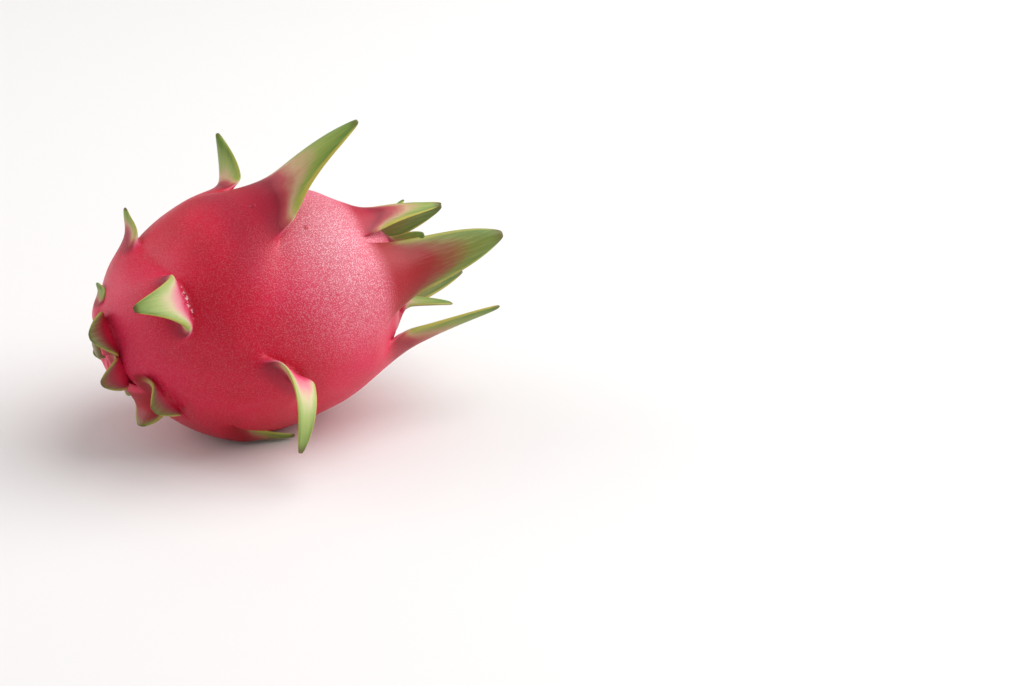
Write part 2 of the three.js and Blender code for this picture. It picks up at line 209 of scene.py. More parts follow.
def pin_root(shift, pinned, scale):
    """Takes the nearest free cells for a scale, and pins their corners under its root."""
    along = along_at(scale["at"])
    slope = outline_slope(along)
    per_unit, radius = math.hypot(slope[0], slope[1]), outline(along)[1]
    cells = 3 if scale["base"] > BROAD_BASE else 2
    own_row = math.floor((along - FIRST_ALONG) / (LAST_ALONG - FIRST_ALONG) * ROWS + 0.5)
    own_column = math.floor(scale["around"] / PITCH - cells / 2 + 0.5)
    span = range(-REACH, REACH + 1)
    nudges = sorted(((r, c) for r in span for c in span), key=lambda n: math.hypot(*n))
    rows, columns = next(
        n for n in nudges if is_free(pinned, own_row + n[0], own_column + n[1], cells)
    )
    fold, first = own_row + rows, own_column + columns
    # The outer face leaves the body this far behind the inner one
    root = min(max(scale["base"] * ROOT_SHARE, ROOT_SHORTEST), ROOT_LONGEST)
    turn = math.radians(scale["turn"])
    for row, back, lift in (
        (fold + 1, -GROOVE_WIDTH, 0),
        (fold, 0, -GROOVE_DEPTH),
        (fold - 1, root, SHOULDER_LIFT),
    ):
        for i in range(cells + 1):
            across = -1 + 2 * i / cells
            swept = back + scale["sag"] * across**2
            wide = across * scale["base"] / 2
            ahead = -swept * math.cos(turn) - wide * math.sin(turn)
            aside = -swept * math.sin(turn) + wide * math.cos(turn)
            column = first + i
            shift[row, column % COLUMNS] = (
                along + ahead / per_unit - row_along(row),
                scale["around"] + math.degrees(aside / radius) - column * PITCH,
                lift,
            )
            pinned[row, column % COLUMNS] = True
    scale.update(along=along, cells=cells, fold=fold, first=first, root=root)


def relax(shift, pinned, steps=60, decay=0.97):
    """Spreads the pinned shifts over the free vertices, a vertex at a time."""
    net = shift.tolist()
    for _ in range(steps):
        for row in range(1, ROWS):
            for column in range(COLUMNS):
                if pinned[row, column]:
                    continue
                near = (
                    net[row - 1][column],
                    net[row + 1][column],
                    net[row][column - 1],
                    net[row][(column + 1) % COLUMNS],
                )
                net[row][column] = [decay * sum(part) / 4 for part in zip(*near)]
    return np.array(net)


shift = np.zeros((ROWS + 1, COLUMNS, 3))
shift[0, :, 2], shift[ROWS, :, 2] = -STEM_DIMPLE, -CROWN_DIMPLE
pinned = np.zeros((ROWS + 1, COLUMNS), bool)
pinned[0] = pinned[ROWS] = True
for scale in SCALES:
    pin_root(shift, pinned, scale)
shift = relax(shift, pinned)
print(int(pinned.sum()), "of", pinned.size, "vertices of the net are pinned")

# %% [markdown]
# ## The blade of a scale
# A blade is a strap that is wide at the root, narrows quickly, then runs nearly even to a blunt
# tip. Loops of vertices carry it along a bent path. Its inner face is hollow and its edge is
# thin. A cloth or a flat plane would look like paper: the real scale is a few millimetres thick.

# %% Loops along a blade
SHORT_LOOPS = (0.25, 0.65, 1)
LONG_LOOPS = (0.12, 0.32, 0.56, 0.8, 1)
LONG_FROM = 12
THICK_SHORT, THICK_LONG = 1.8, 2.2
EDGE_SHARE = 0.38  # how thick the margin is, against the middle
TIP_NARROWING, TIP_THINNING = 0.82, 0.35
ROOT_THICKNESS = 0.6


def blade_width(scale, t):
    swell = (scale["base"] - scale["mid"]) * (1 - t) ** scale["flare"]
    return swell + scale["mid"] * (1 - TIP_NARROWING * t ** scale["blunt"])


def blade_loops(scale):
    """(t, inner points, outer points) of each loop from the root to the tip."""
    rise, bend = math.radians(scale["rise"]), math.radians(scale["bend"])
    turn, swing = math.radians(scale["turn"]), math.radians(scale["swing"])
    twist = math.radians(scale["twist"])
    place, crown0, side0, outward = skin(scale["along"], scale["around"], -GROOVE_DEPTH)
    crownward = crown0 * math.cos(turn) + side0 * math.sin(turn)
    sideways = side0 * math.cos(turn) - crown0 * math.sin(turn)

    def heading(t):
        angle = rise + bend * t
        lean = crownward * math.cos(angle) + outward * math.sin(angle)
        return lean * math.cos(swing * t) + sideways * math.sin(swing * t)

    long = scale["length"] > LONG_FROM
    thin = THICK_LONG if long else THICK_SHORT
    reached = 0
    for t in LONG_LOOPS if long else SHORT_LOOPS:
        place = place + heading((reached + t) / 2) * scale["length"] * (t - reached)
        reached = t
        angle = rise + bend * t
        inner = crownward * math.sin(angle) - outward * math.cos(angle)
        across = unit(np.cross(heading(t), inner))
        if across @ sideways < 0:
            across = -across
        wide = across * math.cos(twist * t) + inner * math.sin(twist * t)
        face = inner * math.cos(twist * t) - across * math.sin(twist * t)
        width = blade_width(scale, t)
        thick = thin * (1 - TIP_THINNING * t)
        thick += (scale["root"] * ROOT_THICKNESS - thin) * (1 - t) ** 4
        hollow = scale["cup"] * width * (1 - 0.5 * t)
        wrapped = width**2 / (8 * outline(scale["along"])[1]) * (1 - t) ** 2
        tops, bottoms = [], []
        for i in range(scale["cells"] + 1):
            x = -1 + 2 * i / scale["cells"]
            top = place + wide * x * width / 2 + face * hollow * x * x - outward * wrapped * x * x
            tops.append(top)
            bottoms.append(top - face * thick * (EDGE_SHARE if abs(x) == 1 else 1))
        yield t, tops, bottoms


print("the longest blade is", max(s["length"] for s in SCALES), "mm")

# %% [markdown]
# ## The cage, with a tag on every vertex
# The cage joins the net, the blades and the two stubs. Each vertex also gets tags that the
# paint will read: how far along a blade it is, how near the margin, which face, and its
# scale's own paint numbers. On the body they tell how near an end of the fruit it is, and how
# near the pale patch by the crown, where the skin is paler and a highlight is painted. Painting by
# hand would be lost at every change of the shape. Only the tips of the two stubs are closed with
# triangles.

# %% Build the cage
TAGS = "blade margin inner axil sap bruise cheek green tan yellow pale".split()
TAGS += "strap_x strap_y stem_end crown_end".split()
# where the pale patch sits: the skin is paler there, and a highlight is painted over it
CHEEK_HIGHLIGHT_AT, CHEEK_HIGHLIGHT_AROUND = 83, 52
CHEEK_HIGHLIGHT_REACH, CHEEK_HIGHLIGHT_TURN = 18, 58
STEM_TINT, CROWN_TINT = 0.35, 0.5
points, tags, quads = [], [], []


def add(point, **tag):
    points.append(np.asarray(point, float))
    tags.append([tag.get(name, 0.0) for name in TAGS])
    return len(points) - 1


def bridge(loop, following):
    for i, a in enumerate(loop):
        j = (i + 1) % len(loop)
        quads.append((a, loop[j], following[j], following[i]))


def loop_of(upper, lower):
    return [lower[0], *upper, *lower[:0:-1]]


ids = np.zeros((ROWS + 1, COLUMNS), int)
for row in range(ROWS + 1):
    for column in range(COLUMNS):
        d_along, d_around, lift = shift[row, column]
        along = row_along(row) + d_along
        around = column * PITCH + d_around
        point = skin(along, around, lift)[0]
        from_pale_patch = math.hypot(
            (outline(along)[0] - CHEEK_HIGHLIGHT_AT) / CHEEK_HIGHLIGHT_REACH, (around - CHEEK_HIGHLIGHT_AROUND) / CHEEK_HIGHLIGHT_TURN
        )
        ids[row, column] = add(
            point,
            cheek=math.exp(-(from_pale_patch**2)),
            stem_end=max(0, 1 - along / STEM_TINT),
            crown_end=max(0, 1 - (1 - along) / CROWN_TINT),
        )

taken = set()
for scale in SCALES:
    paint = {name: scale[name] for name in ("green", "tan", "yellow", "pale")}
    cells, fold, first = scale["cells"], scale["fold"], scale["first"]
    columns = [(first + i) % COLUMNS for i in range(cells + 1)]
    taken |= {(fold - 1, column) for column in columns[:-1]}
    upper, lower = ids[fold, columns].tolist(), ids[fold - 1, columns].tolist()
    for i in range(cells + 1):
        x = -1 + 2 * i / cells
        for vertex, inner in ((upper[i], 1.0), (lower[i], 0.0)):
            tag = dict(paint, margin=abs(x), inner=inner)
            # the outer row under a root carries painted shade, where the scale shades the skin
            tag.update(bruise=(1 - inner) * scale["bruise"])
            tag.update(strap_x=x * scale["base"] / 2, axil=inner * (1 - 0.75 * abs(x) ** 3))
            tag.update(sap=inner * scale["sap"] * (1 - x * x))
            tags[vertex] = [tag.get(name, tags[vertex][k]) for k, name in enumerate(TAGS)]
    loop = loop_of(upper, lower)
    for t, tops, bottoms in blade_loops(scale):
        width = blade_width(scale, t)
        made = ([], [])
        for side, side_points in enumerate((tops, bottoms)):
            for i, point in enumerate(side_points):
                x = -1 + 2 * i / cells
                tag = dict(paint, blade=t, margin=abs(x), inner=1.0 - side)
                tag.update(strap_x=x * width / 2, strap_y=t * scale["length"])
                tag.update(axil=max(0.0, 1 - t / 0.3) * (1 - side))
                tag.update(sap=tag["axil"] * scale["sap"] * (1 - x * x))
                made[side].append(add(point, **tag))
        following = loop_of(*made)
        bridge(loop, following)
        loop = following
    for i in range(cells):
        quads.append((made[1][i], made[0][i], made[0][i + 1], made[1][i + 1]))

for row in range(ROWS):
    for column in range(COLUMNS):
        if (row, column) not in taken:
            beside = (column + 1) % COLUMNS
            corners = ((row, column), (row + 1, column), (row + 1, beside), (row, beside))
            quads.append(tuple(int(ids[corner]) for corner in corners))


def close_end(row, rings, sign, dimple, tag):
    """Closes an end with a stub made of rings, each so far out and so wide."""
    x, _, z = outline(row_along(row))
    centre = np.array([x - sign * dimple, 0, z])
    loop = ids[row].tolist()
    for out, radius in rings:
        ring = []
        for column in range(COLUMNS):
            angle = math.radians(column * PITCH)
            spoke = np.array([sign * out, -radius * math.cos(angle), radius * math.sin(angle)])
            ring.append(add(centre + spoke, **tag))
        bridge(loop if sign < 0 else ring, ring if sign < 0 else loop)
        loop = ring
    tip = add(centre + np.array([sign * rings[-1][0], 0, 0]), **tag)
    for i, a in enumerate(loop):
        b = loop[(i + 1) % COLUMNS]
        quads.append((a, b, tip) if sign < 0 else (b, a, tip))


close_end(0, [(0.5, 4.2), (3.6, 3.6)], -1, STEM_DIMPLE, {"stem_end": 2.0})
close_end(ROWS, [(1, 4.2), (9, 3.2)], 1, CROWN_DIMPLE, {"crown_end": 2.0})
print(len(points), "vertices and", len(quads), "faces in the cage")

# %% [markdown]
# ## Lay it down and make it smooth
# The cage is tilted and lowered as the fruit lies, and becomes a mesh in metres. A Subdivision
# Surface modifier rounds it. One level, with the limit surface on, gives the very vertices of
# the solid, which tells how far to slide it so both sit in the same place. Three levels give the
# final skin, and a copy of the evaluated object keeps it as a plain mesh.

# %% Subdivide
laid = np.array(points)
cos, sin = math.cos(AXIS_CLIMB), math.sin(AXIS_CLIMB)
x, y, z = laid.T
laid = np.stack([x * cos - z * sin, y, x * sin + z * cos + STEM_HEIGHT], axis=1)


def cage_object(name, levels):
    mesh = bpy.data.meshes.new(name)
    mesh.from_pydata((laid * MM).tolist(), [], quads)
    for k, tag in enumerate(TAGS):
        layer = mesh.attributes.new(tag, "FLOAT", "POINT")
        layer.data.foreach_set("value", [row[k] for row in tags])
    made = bpy.data.objects.new(name, mesh)
    bpy.context.scene.collection.objects.link(made)
    smooth = made.modifiers.new("smooth", "SUBSURF")
    smooth.levels = smooth.render_levels = levels
    smooth.use_limit_surface = True
    return made


def plain_copy(source, name):
    """The evaluated object as a new object with a plain mesh and no modifiers."""
    bpy.context.view_layer.update()
    evaluated = source.evaluated_get(bpy.context.evaluated_depsgraph_get())
    mesh = bpy.data.meshes.new_from_object(evaluated)
    mesh.name = name
    bpy.data.objects.remove(source)
    made = bpy.data.objects.new(name, mesh)
    bpy.context.scene.collection.objects.link(made)
    return made


def coordinates(mesh):
    co = np.empty(len(mesh.vertices) * 3)
    mesh.vertices.foreach_get("co", co)
    return co.reshape(-1, 3)


coarse = plain_copy(cage_object("coarse", 1), "coarse")
corners = coordinates(coarse.data)
slide = -(corners.min(axis=0) + corners.max(axis=0)) / 2
slide[2] = 0
bpy.data.objects.remove(coarse)

peel = plain_copy(cage_object("peel_cage", 3), "peel")
skin_points = coordinates(peel.data) + slide
print(len(peel.data.polygons), "faces, slid by", slide.round(5))

# %% [markdown]
# ## Small lumps and wrinkles
# A real peel isn't a perfect lemon: it is a little lumpy, and it puckers in the axils of the
# scales, where the inner face leaves the skin. Noise moves each vertex along its normal. The
# tags are first blurred over the mesh, so that colours have no corners of the coarse cage: in
# few steps where a line should stay crisp, and in many for the pale patch with its painted
# highlight, which fades out widely.

# %% Shape the fine forms
edges = np.empty(len(peel.data.edges) * 2, int)
peel.data.edges.foreach_get("vertices", edges)
edges = edges.reshape(-1, 2)
count = len(skin_points)
neighbours = np.bincount(edges.ravel(), minlength=count)


def blur(values, steps):
    for _ in range(steps):
        total = np.bincount(edges[:, 0], weights=values[edges[:, 1]], minlength=count)
        total += np.bincount(edges[:, 1], weights=values[edges[:, 0]], minlength=count)
        values = 0.5 * values + 0.5 * total / neighbours
    return values


CRISP, SOFT = 4, 10
STEPS = dict.fromkeys("blade margin inner strap_x strap_y stem_end crown_end".split(), CRISP)
STEPS |= {"sap": 5, "cheek": 30}
blurred = {}
for name in TAGS:
    values = np.empty(count)
    peel.data.attributes[name].data.foreach_get("value", values)
    blurred[name] = blur(values, STEPS.get(name, SOFT))
    peel.data.attributes[name].data.foreach_set("value", blurred[name])

normals = np.empty(count * 3)
peel.data.vertices.foreach_get("normal", normals)
normals = normals.reshape(-1, 3)
lumps = np.array([noise.noise(Vector(p) / 0.022) for p in skin_points])
dents = np.array([noise.noise(Vector(p) / 0.009 + Vector((7, 3, 1))) for p in skin_points])
pucker = np.array([noise.noise(Vector(p) / 0.0026 + Vector((1, 9, 4))) for p in skin_points])
on_body = np.clip(1 - 2 * blurred["blade"], 0, 1)
height = on_body * (0.45 * lumps + 0.12 * dents) + 0.55 * pucker * np.clip(blurred["axil"], 0, 1)
skin_points = skin_points + normals * height[:, None] * MM
print("lumps and puckers move the skin by", round(float(np.abs(height).max()), 2), "mm at most")

# %% [markdown]
# ## Rest it on the surface
# Fruit sags where it lies. Everything that would go below the surface is pressed flat to it, and
# the skin is held inside the solid's box, so lumps never make it larger than the solid.

# %% Press it flat
skin_points = np.clip(skin_points, np.array(solid_low), np.array(solid_high))
peel.data.vertices.foreach_set("co", skin_points.ravel())
peel.data.shade_smooth()
peel.data.update()
print(int((skin_points[:, 2] < 1e-6).sum()), "vertices rest on the surface")

# %% [markdown]
# ## A short way to write shader nodes
# The peel's colours come from tags and noise, which are many small nodes. A few helpers that
# return a node's output keep each recipe as short as the sentence that describes it. Colours are
# given as they look on a screen, and are turned into the linear values that Blender works with.

# %% Node helpers
def linear(*rgb):
    """A screen colour from 0 to 255 as a linear colour with alpha."""
    parts = [c / 255 for c in rgb]
    return [c / 12.92 if c <= 0.04045 else ((c + 0.055) / 1.055) ** 2.4 for c in parts] + [1]


class Recipe:
    """A new material whose nodes are added by name and joined as they are made."""

    def __init__(self, name):
        self.material = bpy.data.materials.new(name)
        self.material.use_nodes = True
        self.nodes, self.links = self.material.node_tree.nodes, self.material.node_tree.links
        self.shader = self.nodes["Principled BSDF"]
        self.place = self.node("ShaderNodeTexCoord").outputs["Object"]

    def node(self, kind, inputs=(), **settings):
        made = self.nodes.new(kind)
        for name, value in settings.items():
            setattr(made, name, value)
        for socket, value in dict(inputs).items():
            self.feed(made.inputs[socket], value)
        return made

    def feed(self, socket, value):
        if isinstance(value, bpy.types.NodeSocket):
            self.links.new(value, socket)
        else:
            socket.default_value = value

    def tag(self, name):
        return self.node("ShaderNodeAttribute", attribute_name=name).outputs["Fac"]

    def math(self, operation, a, b=0.0, clamp=False):
        made = self.node("ShaderNodeMath", {0: a, 1: b}, operation=operation, use_clamp=clamp)
        return made.outputs[0]

    def step(self, value, low, high):
        """0 below low and 1 above high, with a smooth slope between."""
        inputs = {"Value": value, "From Min": low, "From Max": high}
        made = self.node("ShaderNodeMapRange", inputs, interpolation_type="SMOOTHSTEP")
        return made.outputs["Result"]

    def noise(self, size, detail=2.0, place=None):
        """Noise from 0 to 1 whose blotches are about size metres wide."""
        inputs = {"Vector": place or self.place, "Scale": 1 / size, "Detail": detail}
        return self.node("ShaderNodeTexNoise", inputs).outputs["Fac"]

    def cells(self, size):
        """Distance in metres from the nearest of points strewn about size apart."""
        inputs = {"Vector": self.place, "Scale": 1 / size}
        nearest = self.node("ShaderNodeTexVoronoi", inputs).outputs["Distance"]
        return self.math("MULTIPLY", nearest, size)

    def ramp(self, value, stops):
        made = self.node("ShaderNodeValToRGB", {"Fac": value})
        points = made.color_ramp.elements
        while len(points) < len(stops):
            points.new(0.5)
        for point, (position, colour) in zip(points, stops):
            point.position, point.color = position, linear(*colour)
        return made.outputs["Color"]

    def mix(self, speckle_and_glint_share, a, b):
        made = self.node("ShaderNodeMix", data_type="RGBA")
        for socket, value in ((0, speckle_and_glint_share), (6, a), (7, b)):
            self.feed(made.inputs[socket], value)
        return made.outputs[2]

    def bump(self, height, distance, strength=1.0, normal=None):
        inputs = {"Height": height, "Distance": distance, "Strength": strength}
        made = self.node("ShaderNodeBump", inputs)
        if normal:
            self.links.new(normal, made.inputs["Normal"])
        return made.outputs["Normal"]

    def finish(self, **sockets):
        for name, value in sockets.items():
            self.feed(self.shader.inputs[name.replace("_", " ")], value)
        return self.material


print("recipes ready")

# %% [markdown]
# ## The skin's red, and light painted on it
# The skin is crimson, lighter in soft blotches. It is pinker at both ends, partly its own tone
# and partly painted light where the rounded ends catch the side lights. Near the crown a pale
# patch is partly paler skin and partly a painted highlight, where the key light's sheen lies.
# Very fine pale speckles cover all of it; in that patch they are stronger, as painted glints of
# the sheen on the grain. A small red wart sits here and there. An image would do, but noise has
# no seams and stays sharp in a close view.

# %% Paint the body
peel_paint = Recipe("dragon_fruit_peel")
r = peel_paint
blade, margin, inner = r.tag("blade"), r.tag("margin"), r.tag("inner")
axil, cheek = r.tag("axil"), r.tag("cheek")
blotch, mottle, speckle = r.noise(0.03, 3), r.noise(0.006, 4), r.noise(0.0004, 2)

red = r.ramp(blotch, [(0.3, (180, 0, 34)), (0.55, (202, 0, 48)), (0.75, (214, 6, 64))])
# pinker towards both ends: partly the skin's own tone, partly painted light where the rounded ends
# catch the side lights
ends = r.math("ADD", r.tag("stem_end"), r.tag("crown_end"), clamp=True)
red = r.mix(r.math("MULTIPLY", ends, 0.65), red, linear(222, 56, 102))
# pale patch near the crown: partly paler skin, partly a painted highlight of the key light
pale_patch_and_highlight = r.math("MULTIPLY", cheek, r.step(mottle, -0.2, 0.55))
red = r.mix(r.math("MULTIPLY", pale_patch_and_highlight, 0.75), red, linear(212, 118, 138))
# pale speckles are the skin's own; their share grows in the pale patch as painted glints of the
# sheen
dots = r.step(speckle, 0.5, 0.6)
speckle_and_glint_share = r.math("ADD", 0.07, r.math("MULTIPLY", cheek, 0.62))
red = r.mix(r.math("MULTIPLY", dots, speckle_and_glint_share), red, linear(242, 200, 208))
bare = r.math("SUBTRACT", 1.0, r.step(blade, 0.1, 0.3))
warts = r.math("MULTIPLY", r.step(r.cells(0.014), 0.0012, 0.0006), bare)
red = r.mix(r.math("MULTIPLY", warts, 0.7), red, linear(192, 10, 50))
print("body painted")

# %% [markdown]
# ## The scales' colours
# A blade turns from wine red at its root through dusky pink to green, sooner along its margins
# than in its middle. Its inner face is paler, almost white in some scales. Each face has a pale
# and a dark ramp, mixed by the scale's own paint number, so that the scales differ.

# %% Paint the blades
ripe = r.math("ADD", blade, r.math("MULTIPLY", r.math("POWER", margin, 2.5), 0.45))
ripe = r.math("ADD", ripe, r.math("MULTIPLY", r.math("SUBTRACT", r.tag("green"), 0.5), 0.6))
ripe = r.math("ADD", ripe, r.math("MULTIPLY", r.math("SUBTRACT", mottle, 0.5), 0.2))
ripe = r.math("MULTIPLY", ripe, r.step(blade, 0.0, 0.25))
outer_pale = [
    (0.0, (172, 14, 48)),
    (0.16, (142, 22, 44)),
    (0.3, (176, 70, 76)),
    (0.46, (192, 156, 118)),
    (0.66, (140, 156, 70)),
    (1.0, (104, 134, 54)),
]
outer_dark = [
    (0.0, (160, 4, 26)),
    (0.12, (150, 10, 18)),
    (0.3, (142, 28, 26)),
    (0.5, (130, 74, 42)),
    (0.7, (112, 120, 46)),
    (1.0, (96, 122, 46)),
]
inner_pale = [
    (0.0, (204, 30, 76)),
    (0.1, (212, 74, 108)),
    (0.27, (216, 142, 148)),
    (0.4, (200, 186, 142)),
    (0.56, (160, 176, 100)),
    (1.0, (110, 138, 60)),
]
inner_dark = [
    (0.0, (186, 20, 52)),
    (0.25, (150, 26, 44)),
    (0.5, (124, 70, 50)),
    (0.75, (110, 112, 54)),
    (1.0, (84, 108, 44)),
]
pale = r.tag("pale")
outside = r.mix(pale, r.ramp(ripe, outer_dark), r.ramp(ripe, outer_pale))
inside = r.mix(pale, r.ramp(ripe, inner_dark), r.ramp(ripe, inner_pale))
leaf = r.mix(r.step(inner, 0.35, 0.65), outside, inside)

# Fibres run along a blade, and show as fine streaks where it is green
strap = r.node("ShaderNodeCombineXYZ", {"X": r.tag("strap_x"), "Y": r.tag("strap_y")})
stretch = r.node("ShaderNodeMapping", {"Vector": strap.outputs[0], "Scale": (1, 0.08, 1)})
fibre = r.noise(0.8, 3, stretch.outputs[0])
streak = r.math("MULTIPLY", r.step(fibre, 0.4, 0.7), r.step(ripe, 0.3, 0.6))
leaf = r.mix(r.math("MULTIPLY", streak, 0.09), leaf, linear(214, 216, 150))

# Yellow margin and brown tip
rim = r.math("MULTIPLY", r.step(margin, 0.86, 1.0), r.step(blade, 0.08, 0.4))
leaf = r.mix(r.math("MULTIPLY", rim, r.tag("yellow")), leaf, linear(188, 176, 78))
tip = r.math("MULTIPLY", r.step(blade, 0.88, 1.0), r.tag("tan"))
leaf = r.mix(tip, leaf, linear(96, 76, 40))
print("blades painted")

# %% [markdown]
# ## Where the two meet, and the relief
# The blade's colour takes over from the body's just past the root. Behind the root of the
# broadest scale the body is painted wine dark: painted shade where the scale shades the skin. In
# patches along each axil's fold a deep red is painted, as painted shade where the fold is deep,
# and
# a few axils have pale specks that are painted glints on wet sap. Bumps follow the same patterns:
# speckles on the body, fibres on the blades, creases in the axils. They cost no faces, and forms
# this fine need no outline of their own.

# %% Join the colours and add relief
# Painted shade: the body behind the root of the broadest scale is darkened to wine
red = r.mix(r.math("MULTIPLY", r.tag("bruise"), 0.5), red, linear(134, 2, 42))
colour = r.mix(r.step(blade, 0.01, 0.09), red, leaf)
# Painted shade: a deep red in patches along each axil's fold; the same mask also dents the relief
# below
crease_and_shade = r.math("MULTIPLY", r.step(axil, 0.3, 0.8), r.step(r.noise(0.0024, 3), 0.3, 0.6))
colour = r.mix(r.math("MULTIPLY", crease_and_shade, 0.6), colour, linear(186, 6, 40))
# Painted highlight: pale specks on the wet sap in the axils stand for its glints
painted_glints = r.math("MULTIPLY", r.step(r.tag("sap"), 0.5, 0.8), r.step(r.noise(0.0012, 3), 0.54, 0.64))
colour = r.mix(r.math("MULTIPLY", painted_glints, 0.8), colour, linear(244, 206, 214))

# The stubs are dry: brown-green at the stem, straw at the flower
wood = r.mix(mottle, linear(96, 92, 52), linear(150, 128, 84))
colour = r.mix(r.step(r.tag("stem_end"), 1.1, 1.5), colour, wood)
straw = r.mix(mottle, linear(150, 104, 74), linear(214, 190, 140))
colour = r.mix(r.step(r.tag("crown_end"), 1.2, 1.7), colour, straw)

normal = r.bump(r.math("MULTIPLY", speckle, bare), 0.0003, 0.5)
normal = r.bump(warts, 0.0004, 0.7, normal)
ribs = r.math("MULTIPLY", fibre, r.step(blade, 0.1, 0.3))
normal = r.bump(ribs, 0.0004, 0.4, normal)
normal = r.bump(crease_and_shade, 0.0008, 0.6, normal)
rough = r.math("ADD", 0.36, r.math("MULTIPLY", mottle, 0.12))
peel_finish = r.finish(
    Base_Color=colour,
    Roughness=rough,
    Normal=normal,
    Specular_IOR_Level=0.3,
    Subsurface_Weight=0.08,
    Subsurface_Radius=(1.0, 0.2, 0.2),
    Subsurface_Scale=0.002,
)
peel.data.materials.append(peel_finish)
print(len(r.nodes), "nodes in the peel's material")

# %% [markdown]
# ## Beads of sap in the axils
# Where a scale has been bent, the axil is wet and small beads catch the light. The painted
# flecks give most of that glitter. Real beads also stand out from the skin, so Geometry Nodes add
# a few: points are spread where the sap tag is highest, and each gets a small ball, squashed and
# of random size. That area is small, so few points fall on it.

# %% Scatter the beads
def new_tree(name, sockets):
    """An empty geometry tree with named inputs of (name, kind, value)."""
    tree = bpy.data.node_groups.new(name, "GeometryNodeTree")
    face = tree.interface
    face.new_socket("Geometry", in_out="INPUT", socket_type="NodeSocketGeometry")
    for title, kind, value in sockets:
        made = face.new_socket(title, in_out="INPUT", socket_type=kind)
        if value is not None:
            made.default_value = value
    face.new_socket("Geometry", in_out="OUTPUT", socket_type="NodeSocketGeometry")
    return tree


def grow(tree, kind, inputs=(), **settings):
    """A node of a geometry tree with its inputs joined or set."""
    made = tree.nodes.new(kind)
    for name, value in settings.items():
        setattr(made, name, value)
    for socket, value in dict(inputs).items():
        if isinstance(value, bpy.types.NodeSocket):
            tree.links.new(value, made.inputs[socket])
        else:
            made.inputs[socket].default_value = value
    return made


def grown_piece(name, source, tree, values):
    """Runs a tree on a source object and returns the result as a plain piece."""
    carrier = bpy.data.objects.new(name + "_carrier", source)
    bpy.context.scene.collection.objects.link(carrier)
    modifier = carrier.modifiers.new("grow", "NODES")
    modifier.node_group = tree
    for item in tree.interface.items_tree:
        if item.in_out == "INPUT" and item.name in values:
            modifier[item.identifier] = values[item.name]
    return plain_copy(carrier, name)


sap = Recipe("sap")
sap_finish = sap.finish(
    Base_Color=linear(240, 222, 222),
    Roughness=0.08,
    Transmission_Weight=0.6,
    IOR=1.36,
)

bead_sockets = [
    ("Beads per square metre", "NodeSocketFloat", 60000.0),
    ("Radius", "NodeSocketFloat", 0.00035),
    ("Seed", "NodeSocketInt", 4),
    ("Sap", "NodeSocketMaterial", None),
]
bead_tree = new_tree("sap_beads", bead_sockets)
given = grow(bead_tree, "NodeGroupInput").outputs
wet = grow(bead_tree, "GeometryNodeInputNamedAttribute", {"Name": "sap"}, data_type="FLOAT")
deep = grow(
    bead_tree, "ShaderNodeMapRange", {"Value": wet.outputs[0], "From Min": 0.6, "From Max": 0.8}
)
spread = grow(
    bead_tree,
    "GeometryNodeDistributePointsOnFaces",
    {
        "Mesh": given["Geometry"],
        "Density": grow(
            bead_tree,
            "ShaderNodeMath",
            {0: given["Beads per square metre"], 1: deep.outputs[0]},
            operation="MULTIPLY",
        ).outputs[0],
        "Seed": given["Seed"],
    },
)
ball = grow(bead_tree, "GeometryNodeMeshIcoSphere", {"Radius": given["Radius"], "Subdivisions": 2})
smooth_ball = grow(bead_tree, "GeometryNodeSetShadeSmooth", {"Geometry": ball.outputs["Mesh"]})
sizes = grow(
    bead_tree,
    "FunctionNodeRandomValue",
    {"Min": (0.4, 0.4, 0.3), "Max": (1.3, 1.3, 0.7), "Seed": given["Seed"]},
    data_type="FLOAT_VECTOR",
)
placed = grow(
    bead_tree,
    "GeometryNodeInstanceOnPoints",
    {
        "Points": spread.outputs["Points"],
        "Instance": smooth_ball.outputs["Geometry"],
        "Rotation": spread.outputs["Rotation"],
        "Scale": sizes.outputs["Value"],
    },
)
solid_beads = grow(bead_tree, "GeometryNodeRealizeInstances", {0: placed.outputs["Instances"]})
shown = grow(
    bead_tree,
    "GeometryNodeSetMaterial",
    {"Geometry": solid_beads.outputs[0], "Material": given["Sap"]},
)
grow(bead_tree, "NodeGroupOutput", {0: shown.outputs[0]})
beads = grown_piece("sap_beads", peel.data.copy(), bead_tree, {"Sap": sap_finish})
print(len(beads.data.polygons), "faces of sap")

# %% [markdown]
# ## Withered fibres in the crown
# The flower leaves a tuft of dry fibres round its stub. They could be particles of hair, but the
# piece has to be a plain mesh. So each fibre is a thin curve with a five-sided section, and
# Geometry Nodes set one on every point of a ring, turned and sized at random. The ring is made
# flat round +Z and then moved to the crown, with its place kept in the mesh.

# %% Grow the fibres
straw_paint = Recipe("withered_flower")
tone = straw_paint.noise(0.004, 3)
straw_finish = straw_paint.finish(
    Base_Color=straw_paint.ramp(tone, [(0.3, (120, 72, 48)), (0.7, (206, 176, 128))]),
    Roughness=0.8,
)

